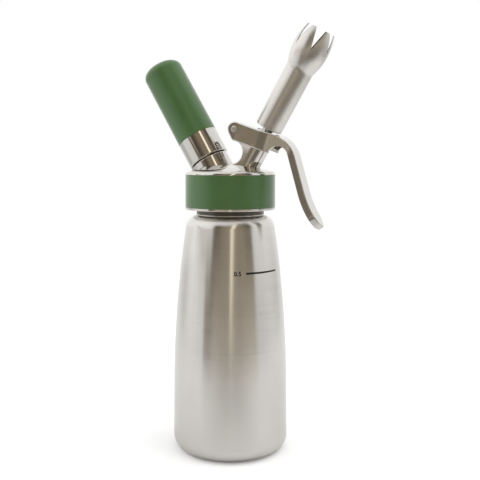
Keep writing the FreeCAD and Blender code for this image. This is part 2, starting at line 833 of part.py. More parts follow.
def make_stem():
    """Hollow stem: foot flange, cream ports, ring groove, guide and threaded top."""
    body = place(new_body("valve_stem"), crossing, *VALVE_LEAN)
    radius = size("stem_radius")
    waist = size("stem_bore") + size("stem_wall")
    flange = size("seat_height") - size("seal_height")
    guide = size("seat_height") + 9.5
    groove = guide + 2.2
    turn_outline(
        body,
        [
            (0, flange - 1.4),
            (size("seal_radius") - 0.8, flange - 1.4, "round", 0.5),
            (size("seal_radius") - 0.8, flange),
            (waist, flange),
            (waist, guide),
            (radius, guide),
            (radius, groove),
            (radius - 0.85, groove),
            (radius - 0.85, groove + 1.6),
            (radius, groove + 1.6),
            (radius, stem_top, "round", 0.4),
            (size("stem_bore"), stem_top),
            (size("stem_bore"), size("seat_height") + 4.0),
            (0, size("seat_height") + 4.0),
        ],
    )
    for plane in ("XZ_Plane", "YZ_Plane"):
        ports = new_sketch(body, plane)
        draw_circle(ports, 0, size("seat_height") + 6.0, 1.1)
        feature, before = add_feature(body, "Pocket", ports)
        feature.SideType = "Symmetric"
        feature.setExpression("Length", (4 * waist).text)
        check_change(body, before, False)

    seal = place(new_body("valve_seal"), crossing, *VALVE_LEAN)
    top = size("seat_height")
    turn_outline(
        seal,
        [
            (waist, flange),
            (size("seal_radius"), flange),
            (size("seal_radius"), top - 0.4),
            (size("seal_radius") - 0.4, top),
            (waist, top),
        ],
    )
    ring = name_piece(doc.addObject("Part::Torus", "stem_o_ring"), "stem_o_ring")
    place_ring(ring, radius - 0.41, 0.43, groove + 0.8)


def place_ring(ring, mean, section, height):
    """Set a seal ring's radii and put it on the valve's axis."""
    ring.setExpression("Radius1", mean.text)
    ring.setExpression("Radius2", as_size(section).text)
    lean = size("valve_lean")
    place(ring, crossing + height * cosine(lean), *VALVE_LEAN, shift=height * sine(lean))


def make_spring():
    body = place(new_body("valve_spring"), crossing, *VALVE_LEAN)
    wire = size("wire_radius")
    mean = chamber_radius - size("spring_gap") - wire
    section = new_sketch(body, "XZ_Plane")
    draw_circle(section, mean, size("chamber_floor") + wire, wire)
    coil = body.newObject("PartDesign::AdditiveHelix", "AdditiveHelix")
    coil.Profile = section
    coil.ReferenceAxis = (section, ["V_Axis"])
    coil.Mode = "height-turns-angle"
    coil.setExpression("Height", (nut_low - size("chamber_floor") - 2 * wire).text)
    coil.Turns = SPRING_TURNS
    doc.recompute()


def make_nut():
    """Spring nut on the stem, with a domed top that the lever's web presses on."""
    body = place(new_body("spring_nut"), crossing, *VALVE_LEAN)
    radius = size("stem_radius")
    dome = size("nut_round")
    inner_top = nut_centre + root(dome * dome - radius * radius)
    turn_outline(
        body,
        [
            (radius, nut_low),
            (size("nut_radius"), nut_low, "round", 0.4),
            (size("nut_radius"), nut_edge),
            (radius, inner_top, "arc", dome),
        ],
    )


# ---------------------------------------------------------------- lever

def make_lever():
    """A channel over the tower that turns into a flat handle, drawn from the pivot along the web."""
    lean = size("valve_lean")
    out = size("pivot_out")
    up = size("pivot_height")
    body = place(
        new_body("lever"),
        crossing + out * sine(lean) + up * cosine(lean),
        Vector(0, 1, 0),
        lean - size("web_lift"),
        shift=up * sine(lean) - out * cosine(lean),
    )
    add_lever_profile(body)
    trim_lever_plan(body)
    trim_handle_end(body)
    round_edges(body, EDGE, is_web_edge)
    hollow_lever(body)


def handle_line():
    """The handle's outer side in side view: where it leaves the web, its knee and its end."""
    steep, flat = size("handle_angle"), size("flare_angle")
    corner = (size("web_length"), web_top)
    knee = (
        corner[0] + size("handle_length") * cosine(steep),
        corner[1] - size("handle_length") * sine(steep),
    )
    end = (
        knee[0] + size("flare_length") * cosine(flat),
        knee[1] - size("flare_length") * sine(flat),
    )
    return corner, knee, end


def add_lever_profile(body):
    """Side view: eye, web, rounded corner, handle with a flared end, and the notch behind the fork."""
    steep, flat = size("handle_angle"), size("flare_angle")
    thick = size("handle_thick")
    depth = size("cheek_depth")
    corner, knee, end = handle_line()
    shared = 1 + cosine(steep - flat)
    in_knee = (
        knee[0] - thick * (sine(steep) + sine(flat)) / shared,
        knee[1] - thick * (cosine(steep) + cosine(flat)) / shared,
    )
    # the side view runs on past the end, where trim_handle_end cuts it
    past = (end[0] + cosine(flat), end[1] - sine(flat))
    in_past = (past[0] - thick * sine(flat), past[1] - thick * cosine(flat))
    notch = size("notch_round")
    # the notch is centred on the cheeks' lower edge and runs into the inner side of the handle
    notch_x = corner[0] - (thick + notch - (web_top + depth) * cosine(steep)) / sine(steep)
    touch = (notch_x + notch * sine(steep), notch * cosine(steep) - depth)
    half = web_top * math.sin(math.radians(45))
    sketch = new_sketch(body, "XZ_Plane")
    draw_outline(
        sketch,
        [
            (0, web_top),
            (-half, -half, "arc", web_top),
            (depth - 2 * half, -depth, "round", 3.0),
            (notch_x - notch, -depth),
            (notch_x, notch - depth, "arc", -notch),
            (*touch, "arc", -notch),
            (*in_knee, "round", 60.0),
            (*in_past, "round", size("end_round")),
            past,
            (*knee, "round", 60.0),
            (*corner, "round", size("corner_round")),
        ],
    )
    pad_both_ways(body, sketch, 4 * size("tower_radius"))


def trim_lever_plan(body):
    """Plan view: narrow at the pivot, widening over the tower, narrow again at the handle."""
    wide, narrow = cheek_halves()
    outer = size("plate")
    fork_start = size("pivot_out")
    far = size("web_length") + size("handle_length") + size("flare_length")
    flank = [
        (-web_top - 2, narrow + outer),
        (eye_flat, narrow + outer, "round", 12.0),
        (fork_start, wide + outer, "round", 12.0),
        (size("fork_end"), wide + outer, "round", 12.0),
        (size("web_length"), size("handle_half"), "round", 18.0),
        (far - 1, size("handle_half")),
    ]
    sketch = new_sketch(body, "XY_Plane")
    draw_outline(sketch, [(-far, -far), (far, -far), (far, far), (-far, far)])
    draw_outline(sketch, mirrored(flank))
    cut_through(body, sketch)


def trim_handle_end(body):
    """Cut the handle's end to a blunt point, drawn flat on its flared stretch with the end at zero."""
    half, taper, nose = size("handle_half"), size("end_taper"), size("end_nose")
    run = taper - nose
    bow = (run * run + half * half - nose * nose) / (2 * (half - nose))
    meet_x = nose * run / (bow - nose) - nose
    meet_y = nose * (bow - half) / (bow - nose)
    clear = half + 2
    _, _, end = handle_line()
    sketch = new_sketch(body, "XY_Plane")
    lean_sketch(sketch, Vector(0, 1, 0), size("flare_angle"))
    sketch.setExpression("AttachmentOffset.Base.x", end[0].text)
    sketch.setExpression("AttachmentOffset.Base.z", end[1].text)
    draw_outline(
        sketch,
        [
            (-taper, -clear),
            (clear, -clear),
            (clear, clear),
            (-taper, clear),
            (-taper, half),
            (meet_x, meet_y, "arc", -bow),
            (meet_x, -meet_y, "arc", -nose),
            (-taper, -half, "arc", -bow),
        ],
    )
    cut_through(body, sketch)


def is_web_edge(edge):
    """The straight edges along the top of the web. The rounding runs on from them round the outline."""
    box = edge.BoundBox
    return box.ZMin > web_top.value - 1e-3 and box.YLength < box.XLength


def cheek_halves():
    """Half the gap between the cheeks over the tower and at the pivot, where they are flat for the pin."""
    narrow = fin_flank(eye_flat) + size("cheek_gap")
    wide = size("tower_radius") + size("cheek_gap")
    return wide, narrow


def mirrored(flank):
    """A closed outline from its upper half, which runs along +X: down one side and back on the other."""
    lower = [(x, -as_size(y), *rest) for x, y, *rest in flank]
    return lower + flank[::-1]


def hollow_lever(body):
    """Channel between the cheeks, open below and behind, with the pin's hole and the stem's slot."""
    wide, narrow = cheek_halves()
    corner_share = 0.36     # how much of the corner's rounding the channel leaves solid
    channel_end = size("web_length") - size("corner_round") * corner_share
    sketch = new_sketch(body, "XY_Plane")
    sketch.setExpression("AttachmentOffset.Base.z", web_under.text)
    draw_outline(
        sketch,
        mirrored(
            [
                (-web_top - 1, narrow),
                (eye_flat, narrow, "round", 12.0),
                (size("pivot_out"), wide, "round", 12.0),
                (size("fork_end"), wide, "round", 8.0),
                (channel_end, size("handle_half"), "round", 1.5),
            ]
        ),
    )
    feature, before = add_feature(body, "Pocket", sketch)
    feature.Type = "ThroughAll"
    check_change(body, before, False)
    eye = new_sketch(body, "XZ_Plane")
    draw_circle(eye, 0, 0, size("pin_radius") + size("pin_gap"))
    cut_through(body, eye)
    slot = new_sketch(body, "XY_Plane")
    lift = size("web_lift")
    early = 0.7         # the slot reaches further to the pivot's side, where the stem goes as it is pressed
    middle = size("pivot_out") / cosine(lift) + web_under * sine(lift) / cosine(lift) - early
    reach = as_size(2.0)
    draw_outline(
        slot,
        [
            (middle - reach, -slot_half, "arc", slot_half),
            (middle + reach, -slot_half),
            (middle + reach + slot_half, 0, "arc", slot_half),
            (middle + reach, slot_half, "arc", slot_half),
            (middle - reach, slot_half),
            (middle - reach - slot_half, 0, "arc", slot_half),
        ],
    )
    feature, before = add_feature(body, "Pocket", slot)
    feature.Type = "ThroughAll"
    feature.Reversed = True
    check_change(body, before, False)


def make_pin():
    """Pivot pin through both cheeks and the eye, with a domed head at each end."""
    lean = size("valve_lean")
    out = size("pivot_out")
    up = size("pivot_height")
    body = place(
        new_body("lever_pin"),
        crossing + out * sine(lean) + up * cosine(lean),
        Vector(1, 0, 0),
        as_size(90),
        shift=up * sine(lean) - out * cosine(lean),
    )
    _, narrow = cheek_halves()
    half = narrow + size("plate") + 0.1
    end = half + 0.8
    turn_outline(
        body,
        [
            (0, -end),
            (pin_head, -end, "round", 0.75),
            (pin_head, -half),
            (size("pin_radius"), -half),
            (size("pin_radius"), half),
            (pin_head, half),
            (pin_head, end, "round", 0.75),
            (0, end),
        ],
    )


# ---------------------------------------------------------------- decorating tip

def make_tip():
    """Tube with a threaded boss in its foot, opening into a tulip of pointed petals."""
    body = place(new_body("decorator_tip"), crossing, *VALVE_LEAN)
    outer = size("tip_radius")
    wall = size("tip_wall")
    tube_end = tip_foot + size("tip_tube")
    mouth = tip_foot + size("tip_length")
    flare = size("flare_round")
    rise = size("flare_rise")
    flare_out = flare - root(flare * flare - rise * rise)
    hole = size("stem_radius") + size("stem_gap")
    turn_outline(
        body,
        [
            (hole, tip_foot + 1.0),
            (hole + 2.0, tip_foot + 1.0),
            (hole + 2.0, ring_seat - 2.0),
            (outer - wall, ring_seat - 2.0),
            (outer - wall, tip_foot),
            (outer, tip_foot, "round", 0.7 * wall),
            (outer, tube_end),
            (outer + flare_out, tube_end + rise, "arc", -flare),
            (size("mouth_radius"), mouth, "arc", size("tulip_round")),
            (size("mouth_radius") - wall, mouth),
            (outer + flare_out - wall, tube_end + rise, "arc", wall - size("tulip_round")),
            (outer - wall, tube_end, "arc", flare + wall),
            (outer - wall, ring_seat + 1.5),
            (hole + 1.6, ring_seat + 1.5),
            (hole + 1.6, ring_seat),
            (hole, ring_seat),
        ],
    )
    notch = new_sketch(body, "XZ_Plane")
    lean_sketch(notch, Vector(0, 1, 0), size("petal_turn"))
    beyond = 1.3
    draw_outline(
        notch,
        [
            (0, mouth - size("notch_depth")),
            (size("notch_half") * beyond, mouth + size("notch_depth") * (beyond - 1)),
            (-size("notch_half") * beyond, mouth + size("notch_depth") * (beyond - 1)),
        ],
    )
    feature, before = add_feature(body, "Pocket", notch)
    feature.Reversed = True
    feature.setExpression("Length", (2 * outer).text)
    check_change(body, before, False)
    petals = body.newObject("PartDesign::PolarPattern", "PolarPattern")
    petals.Originals = [feature]
    petals.Axis = (next(f for f in body.Origin.OriginFeatures if f.Role == "Z_Axis"), [""])
    petals.Angle = 360
    petals.Occurrences = PETALS
    body.Tip = petals
    doc.recompute()

    ring = name_piece(doc.addObject("Part::Torus", "tip_o_ring"), "tip_o_ring")
    place_ring(ring, hole + 0.8, 0.7, ring_seat + 0.72)


# ---------------------------------------------------------------- charger and holder

def make_charger():
    """Pressed steel gas charger with a narrow neck, and the pierced cap in its mouth."""
    body = place(new_body("charger"), crossing, *HOLDER_LEAN)
    radius = size("charger_radius")
    neck = size("charger_neck")
    wall = size("charger_wall")
    orifice = size("charger_mouth")
    end = charger_end
    turn_outline(
        body,
        [
            (orifice, charger_tip),
            (neck, charger_tip, "round", 0.5),
            (neck, charger_tip + 8.0, "round", 2.5),
            (radius, charger_tip + 15.5, "round", 6.0),
            (radius, end, "round", 7.0),
            (0, end),
            (0, end - wall),
            (radius - wall, end - wall, "round", 5.5),
            (radius - wall, charger_tip + 16.6, "round", 5.0),
            (orifice, charger_tip + 9.2, "round", 1.0),
        ],
    )
    cap = place(new_body("charger_cap"), crossing, *HOLDER_LEAN)
    needle = size("needle_radius") + 0.15
    turn_outline(
        cap,
        [
            (needle, charger_tip + 0.4),
            (orifice, charger_tip + 0.4),
            (orifice, charger_tip + 1.0),
            (needle, charger_tip + 1.0),
        ],
    )


def make_holder():
    """Steel sleeve with an inside thread at its mouth, and the silicone grip pulled over it."""
    outer = size("holder_radius")
    bare = holder_foot + size("sleeve_bare")
    thread = size("nipple_radius") + size("thread_gap")
    relief = thread + size("nipple_relief")
    inner_end = charger_end + size("charger_play")
    sleeve_top = inner_end + size("sleeve_end")
    grip_top = sleeve_top + size("grip_wall")
    sleeve = place(new_body("charger_sleeve"), crossing, *HOLDER_LEAN)
    turn_outline(
        sleeve,
        [
            (relief, holder_foot),
            (outer, holder_foot, "round", EDGE),
            (outer, bare),
            (sleeve_core, bare),
            (sleeve_core, sleeve_top, "round", 4.0),
            (0, sleeve_top),
            (0, inner_end),
            (sleeve_bore, inner_end),
            (sleeve_bore, nipple_top + 2.0),
            (thread, nipple_top + 0.4),
            (thread, thread_low),
            (relief, thread_low - THREAD_LEAD),
        ],
    )
    grip = place(new_body("charger_grip"), crossing, *HOLDER_LEAN)
    turn_outline(
        grip,
        [
            (sleeve_core, bare),
            (outer, bare, "round", 0.4),
            (outer, grip_top, "round", size("grip_round")),
            (0, grip_top),
            (0, sleeve_top),
            (sleeve_core, sleeve_top, "round", 4.0),
        ],
    )


make_bottle()
make_gasket()
make_head()
make_grip_band()
make_inlet_pieces()
make_stem()
make_spring()
make_nut()
make_lever()
make_pin()
make_tip()
make_charger()
make_holder()
doc.recompute()

for item in doc.Objects:
    if "Invalid" in item.State or "Error" in item.State:
        raise RuntimeError(f"{item.Name} ({item.Label}) failed: {item.State}")
for piece in PIECES:
    if piece.Shape.isNull() or not piece.Shape.isValid() or not piece.Shape.Solids:
        raise RuntimeError(f"{piece.Label} has no valid solid")

os.makedirs("parts", exist_ok=True)
for piece in PIECES:
    piece.Shape.exportStep(f"parts/{piece.Label}.step")
    print(f"{piece.Label:20s} solids {len(piece.Shape.Solids)}  volume {piece.Shape.Volume:10.1f} mm3")
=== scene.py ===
"""Looks for the cream whipper: materials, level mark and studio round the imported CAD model."""

import json
import math

import bmesh
import bpy
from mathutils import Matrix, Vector


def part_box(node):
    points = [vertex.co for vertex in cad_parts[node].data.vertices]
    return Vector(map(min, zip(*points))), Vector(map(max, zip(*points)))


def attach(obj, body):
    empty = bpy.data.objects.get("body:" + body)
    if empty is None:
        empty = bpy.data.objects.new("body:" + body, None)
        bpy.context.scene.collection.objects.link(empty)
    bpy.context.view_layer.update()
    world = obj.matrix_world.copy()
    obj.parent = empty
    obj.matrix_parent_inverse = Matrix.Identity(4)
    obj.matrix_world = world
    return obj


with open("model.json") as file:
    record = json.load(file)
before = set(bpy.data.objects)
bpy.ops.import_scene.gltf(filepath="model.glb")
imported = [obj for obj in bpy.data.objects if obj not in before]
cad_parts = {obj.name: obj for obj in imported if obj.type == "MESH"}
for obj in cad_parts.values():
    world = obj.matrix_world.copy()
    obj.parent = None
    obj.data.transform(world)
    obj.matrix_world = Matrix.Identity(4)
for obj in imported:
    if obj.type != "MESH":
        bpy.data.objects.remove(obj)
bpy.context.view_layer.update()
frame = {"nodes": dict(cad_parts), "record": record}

# The camera stands level, turned from the front towards the lever, and is shifted to frame the object.
CAMERA_AZIMUTH = 26.0
CAMERA_DISTANCE = 0.510
CAMERA_HEIGHT = 0.198
FOCAL_LENGTH = 54.92
SENSOR = 36.0
SHIFT = (0.0202, -0.1694)
CLIP_START = 0.01


def toward(bearing=0.0):
    """The level direction out of the object, at a bearing in degrees to the right of the camera's."""
    turn = math.radians(CAMERA_AZIMUTH + bearing)
    return Vector((math.sin(turn), -math.cos(turn), 0.0))


def add_object(name, data):
    item = bpy.data.objects.new(name, data)
    bpy.context.scene.collection.objects.link(item)
    return item


def grey(level):
    return (level, level, level, 1.0)


# ---------------------------------------------------------------- node helpers


class Nodes:
    """Short ways to add and link shader nodes in one tree."""

    def __init__(self, tree):
        self.tree = tree
        tree.nodes.clear()

    def add(self, kind, inputs=None, **settings):
        node = self.tree.nodes.new(f"ShaderNode{kind}")
        for name, value in settings.items():
            setattr(node, name, value)
        for name, value in (inputs or {}).items():
            self.put(node.inputs[name], value)
        return node

    def put(self, socket, value):
        if isinstance(value, bpy.types.NodeSocket):
            self.tree.links.new(value, socket)
        else:
            socket.default_value = value

    def place(self):
        """The place on the piece, in metres in the object's frame."""
        return self.add("TexCoord").outputs["Object"]

    def upright(self, vector):
        return self.add("SeparateXYZ", {"Vector": vector}).outputs["Z"]

    def math(self, operation, first, second=0.0, third=0.0):
        node = self.add("Math", operation=operation)
        for socket, value in zip(node.inputs, (first, second, third)):
            self.put(socket, value)
        return node.outputs[0]

    def both(self, first, second):
        return self.math("MULTIPLY", first, second)

    def minus(self, first, second):
        return self.math("SUBTRACT", first, second)

    def size_of(self, value):
        return self.math("ABSOLUTE", value)

    def blend(self, first, second, share):
        """A mean of the two, in which the first has this share."""
        return self.math("MULTIPLY_ADD", first, share, self.math("MULTIPLY", second, 1 - share))

    def along(self, vector, direction):
        node = self.add("VectorMath", {0: vector, 1: direction}, operation="DOT_PRODUCT")
        return node.outputs["Value"]

    def distance(self, vector, point):
        node = self.add("VectorMath", {0: vector, 1: point}, operation="DISTANCE")
        return node.outputs["Value"]

    def ramp(self, factor, stops):
        """A colour ramp. Each stop is a position with a grey level or a colour."""
        node = self.add("ValToRGB", {"Fac": factor})
        elements = node.color_ramp.elements
        while len(elements) > 1:
            elements.remove(elements[-1])
        for i, (position, value) in enumerate(stops):
            element = elements[0] if i == 0 else elements.new(position)
            element.position = position
            colour = value if hasattr(value, "__len__") else (value,) * 3
            element.color = (*colour, 1.0)
        return node.outputs["Color"]

    def shades(self, factor, colour, span, lightness):
        """The colour, from its darkest to its palest shade as the factor goes over the span."""
        stops = [(at, [shade * c for c in colour]) for at, shade in zip(span, lightness)]
        return self.ramp(factor, stops)

    def bearing_ramp(self, bearing, stops):
        """A ramp over the whole turn, with its stops given in degrees."""
        turned = self.math("MULTIPLY_ADD", bearing, 1 / 360, 0.5)
        return self.ramp(turned, [(degrees / 360 + 0.5, value) for degrees, value in stops])

    def step(self, value, low, high, bottom=0.0, top=1.0, kind="SMOOTHSTEP"):
        """Runs smoothly from bottom to top as the value goes from low to high."""
        node = self.add(
            "MapRange",
            {"Value": value, "From Min": low, "From Max": high, "To Min": bottom, "To Max": top},
            interpolation_type=kind,
        )
        return node.outputs["Result"]

    def fall(self, value, low, high):
        """Runs smoothly from one to zero as the value goes from low to high."""
        return self.step(value, low, high, 1.0, 0.0)

    def line(self, value, low, high, bottom, top):
        """Runs evenly from bottom to top as the value goes from low to high."""
        return self.step(value, low, high, bottom, top, "LINEAR")

    def noise(self, vector, scale, detail=3.0, roughness=0.5):
        node = self.add(
            "TexNoise",
            {"Vector": vector, "Scale": scale, "Detail": detail, "Roughness": roughness},
        )
        return node.outputs["Fac"]

    def stretched(self, vector, scale):
        return self.add("Mapping", {"Vector": vector, "Scale": scale}).outputs["Vector"]

    def mix(self, factor, first, second):
        node = self.add("Mix", data_type="RGBA")
        sockets = (node.inputs[0], node.inputs[6], node.inputs[7])
        for socket, value in zip(sockets, (factor, first, second)):
            self.put(socket, value)
        return node.outputs[2]

    def choose(self, factor, first, second):
        """The first shader where the factor is zero and the second where it is one."""
        return self.add("MixShader", {0: factor, 1: first, 2: second}).outputs[0]

    def bump(self, height, distance, strength=1.0):
        node = self.add("Bump", {"Height": height, "Distance": distance, "Strength": strength})
        return node.outputs["Normal"]

    def finish(self, inputs):
        """A principled shader with these inputs, wired to the output."""
        shader = self.add("BsdfPrincipled", inputs)
        self.add("OutputMaterial", {"Surface": shader.outputs[0]})
        return shader


def new_material(name):
    material = bpy.data.materials.new(name)
    material.use_nodes = True
    return material, Nodes(material.node_tree)


# ---------------------------------------------------------------- materials

STEEL = (0.66, 0.64, 0.605)
TIP_STEEL = (0.70, 0.675, 0.635)
TURNED = (0.6, 0.59, 0.57)
SPRING = (0.5, 0.5, 0.5)
ZINC = (0.6, 0.6, 0.58)
BRASS = (0.62, 0.45, 0.18)
GREEN = (0.029, 0.104, 0.008)
WHITE_SEAL = (0.75, 0.74, 0.70)
DARK_SEAL = (0.03, 0.03, 0.032)
INK = (0.006, 0.005, 0.004)

NECK_SHADE = (0.13, 0.12, 0.105)          # painted shade: the bottle's neck, in the gap under the head, is coloured dark
NECK_ROUGHNESS = 0.45
NECK_EDGE = 0.0006                  # the painted shade and the rougher steel set in over this height
NECK_BELOW_RIM = 0.0036             # the bottle's shoulder ends this far under the head's rim
NECK_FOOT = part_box("head_body")[0][2] - NECK_BELOW_RIM

# Scales of the grain along X, Y and Z: small along its lines and large across them.
ROUND_Z = (12.0, 12.0, 2200.0)
FINE_ROUND_Z = (60.0, 60.0, 3000.0)
EVEN = (400.0, 400.0, 400.0)
SCRATCHES = (900.0, 900.0, 120.0)

WEAR_SPAN = (0.35, 0.65)            # most of a noise lies between these values
CLEAR_POLISH = (0.05, 0.1)          # roughness of bright polish, from its clearest to its haziest
DULL_POLISH = (0.15, 0.25)
SILICONE_ROUGHNESS = (0.36, 0.46)
QUARTER_TURN = 0.25


def brushed_steel(name, colour, along, roughness=(0.2, 0.28), spread=0.0, neck_shade_above=None):
    """Satin steel with fine brushing, whose scales are given by along.

    On a piece that is brushed round the upright axis, spread draws its reflections out upwards and
    downwards. Above the neck's given height the steel is coloured dark and made rougher; the dark
    colour is painted shade for the shaded gap under the head.
    """
    material, n = new_material(name)
    place = n.place()
    hairs = n.noise(n.stretched(place, along), scale=1.0, detail=4.0, roughness=0.6)
    cloud = n.noise(place, scale=38.0, detail=4.0, roughness=0.55)
    worn = n.blend(hairs, cloud, share=0.45)
    tone = n.shades(worn, colour, WEAR_SPAN, lightness=(0.94, 1.04))
    rough = n.line(worn, *WEAR_SPAN, *roughness)
    if neck_shade_above:
        # painted shade: above this height the neck's colour turns dark, as in the shaded gap under the head,
        # and its roughness rises
        neck_shade = n.step(n.upright(place), neck_shade_above, neck_shade_above + NECK_EDGE)
        tone = n.mix(neck_shade, tone, (*NECK_SHADE, 1.0))
        rough = n.math("MAXIMUM", rough, n.both(neck_shade, NECK_ROUGHNESS))
    relief = n.bump(hairs, distance=0.000006)
    shader = n.finish({"Base Color": tone, "Metallic": 1.0, "Roughness": rough, "Normal": relief})
    if spread:
        shader.inputs["Anisotropic"].default_value = spread
        shader.inputs["Anisotropic Rotation"].default_value = QUARTER_TURN
        round_axis = n.add("Tangent", direction_type="RADIAL", axis="Z")
        n.put(shader.inputs["Tangent"], round_axis.outputs["Tangent"])
    return material


def polished_steel(name, colour, roughness, smudge_scale=60.0):
    """Polished metal with faint haze, fine scratches and finger marks."""
    material, n = new_material(name)
    place = n.place()
    smudge = n.noise(place, smudge_scale, detail=5.0, roughness=0.6)
    scratch = n.noise(n.stretched(place, SCRATCHES), scale=1.0, detail=2.0)
    mixed = n.blend(scratch, smudge, share=0.25)
    n.finish(
        {
            "Base Color": n.shades(mixed, colour, span=(0.3, 0.7), lightness=(0.96, 1.0)),
            "Metallic": 1.0,
            "Roughness": n.line(mixed, *WEAR_SPAN, *roughness),
            "Normal": n.bump(scratch, distance=0.000003),
        }
    )
    return material


def silicone(name, colour):
    """Matte moulded silicone: a fine grain, faint cloudiness and a soft pale sheen towards its edges."""
    material, n = new_material(name)
    place = n.place()
    grain = n.noise(place, scale=2600.0, detail=2.0)
    cloud = n.noise(place, scale=55.0, detail=4.0, roughness=0.6)
    n.finish(
        {
            "Base Color": n.shades(cloud, colour, span=(0.3, 0.75), lightness=(0.92, 1.1)),
            "Roughness": n.step(cloud, 0.2, 0.8, *SILICONE_ROUGHNESS),
            "Specular IOR Level": 1.0,
            "Sheen Weight": 1.0,
            "Sheen Roughness": 0.3,
            "Sheen Tint": grey(1.0),
            "Normal": n.bump(grain, distance=0.00002, strength=0.5),
        }
    )
    return material


def rubber(name, colour, roughness=0.5):
    """Plain rubber or ink, with a faint unevenness."""
    material, n = new_material(name)
    cloud = n.noise(n.place(), scale=300.0, detail=3.0)
    n.finish(
        {
            "Base Color": n.shades(cloud, colour, span=(0.3, 0.7), lightness=(0.85, 1.0)),
            "Roughness": roughness,
            "Normal": n.bump(cloud, distance=0.00003, strength=0.4),
        }
    )
    return material


materials = {
    # the shell's neck above NECK_FOOT gets the painted shade of the gap under the head
    "brushed_shell": brushed_steel(
        "brushed_shell", STEEL, ROUND_Z, (0.19, 0.25), spread=0.8, neck_shade_above=NECK_FOOT
    ),
    "polished_head": polished_steel("polished_head", STEEL, CLEAR_POLISH),
    "polished_lever": polished_steel("polished_lever", STEEL, CLEAR_POLISH, smudge_scale=80.0),
    "polished_tip": polished_steel("polished_tip", TIP_STEEL, (0.26, 0.34), smudge_scale=70.0),
    "polished_sleeve": polished_steel("polished_sleeve", STEEL, CLEAR_POLISH, smudge_scale=50.0),
    "turned_steel": brushed_steel("turned_steel", TURNED, FINE_ROUND_Z),
    "grip_silicone": silicone("grip_silicone", GREEN),
    "seal_white": rubber("seal_white", WHITE_SEAL),
    "seal_dark": rubber("seal_dark", DARK_SEAL, 0.4),
    "spring_steel": polished_steel("spring_steel", SPRING, DULL_POLISH, smudge_scale=200.0),
    "charger_steel": brushed_steel("charger_steel", ZINC, EVEN, (0.28, 0.4)),
    "brass_valve": polished_steel("brass_valve", BRASS, DULL_POLISH, smudge_scale=120.0),
}
print_ink = rubber("print_ink", INK, 0.7)
slots = {s["node"]: s["material_slot"] for s in frame["record"]["subparts"]}
for node, piece in frame["nodes"].items():
    piece.data.materials.clear()
    piece.data.materials.append(materials[slots[node]])

# ---------------------------------------------------------------- level mark

MARK_HEIGHT = 0.1230                # height of the printed level line on the bottle
MARK_FROM, MARK_TO = 17.5, 62.0     # its ends, in degrees from the camera's bearing
MARK_WIDTH = 0.0014
MARK_TAPER = 0.3                    # share of its width that it has lost at its far end
MARK_STEPS = 40
MARK_PROUD = 0.00006                # how far the print stands out of the steel
MARK_SUNK = 0.00004                 # and how far its back reaches in
NUMBER = "0.5"
NUMBER_FROM = 4.0                   # bearing of the left edge of the number
NUMBER_TALL = 0.0030
NUMBER_BOLD = 0.03                  # how far the strokes are fattened, as a share of the type size
OUTSIDE = 0.1                       # a distance from the axis that is clear of the bottle


def on_bottle(bearing, height, proud):
    """The point this far outside the bottle's surface, at a bearing from the camera's in degrees."""
    out = toward(bearing)
    start = out * OUTSIDE + Vector((0, 0, height))
    found, point, _, _ = frame["nodes"]["bottle"].ray_cast(start, -out)
    if not found:
        raise RuntimeError("the level mark misses the bottle")
    return point + out * proud


def add_printed(name, mesh):
    """Put a printed mark on the bottle and let it move with the bottle."""
    piece = add_object(name, mesh)
    mesh.materials.append(print_ink)
    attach(piece, "bottle")


def level_line():
    """A thin printed line, which tapers a little towards its far end."""
    shape = bmesh.new()
    rings = []
    for i in range(MARK_STEPS + 1):
        share = i / MARK_STEPS
        bearing = MARK_FROM + (MARK_TO - MARK_FROM) * share
        half = MARK_WIDTH / 2 * (1 - MARK_TAPER * share)
        corners = ((-half, -MARK_SUNK), (half, -MARK_SUNK), (half, MARK_PROUD), (-half, MARK_PROUD))
        points = [on_bottle(bearing, MARK_HEIGHT + up, proud) for up, proud in corners]
        rings.append([shape.verts.new(point) for point in points])
    for near, far in zip(rings, rings[1:]):
        for k in range(4):
            shape.faces.new((near[k], near[(k + 1) % 4], far[(k + 1) % 4], far[k]))
    shape.faces.new(rings[0])
    shape.faces.new(rings[-1])
    bmesh.ops.recalc_face_normals(shape, faces=shape.faces)
    mesh = bpy.data.meshes.new("level_line")
    shape.to_mesh(mesh)
    shape.free()
    add_printed("level_line", mesh)


def level_number():
    """The volume at the line, as a plain number wrapped round the bottle."""
    text = bpy.data.curves.new("level_number", "FONT")
    text.body = NUMBER
    text.extrude = 0.5              # gives the letters a front and a back, to be laid on the steel
    text.resolution_u = 4
    text.offset = NUMBER_BOLD
    flat = add_object("level_number_flat", text)
    bpy.context.view_layer.update()
    solid = flat.evaluated_get(bpy.context.evaluated_depsgraph_get())
    mesh = bpy.data.meshes.new_from_object(solid)
    bpy.data.objects.remove(flat)
    left = min(v.co.x for v in mesh.vertices)
    low = min(v.co.y for v in mesh.vertices)
    scale = NUMBER_TALL / (max(v.co.y for v in mesh.vertices) - low)
    radius = on_bottle(NUMBER_FROM, MARK_HEIGHT, 0).xy.length
    for v in mesh.vertices:
        bearing = NUMBER_FROM + math.degrees((v.co.x - left) * scale / radius)
        height = MARK_HEIGHT + (v.co.y - low) * scale - NUMBER_TALL / 2
        v.co = on_bottle(bearing, height, MARK_PROUD if v.co.z > 0 else -MARK_SUNK)
    mesh.name = "level_number"
    add_printed("level_number", mesh)


level_line()
level_number()

# ---------------------------------------------------------------- world

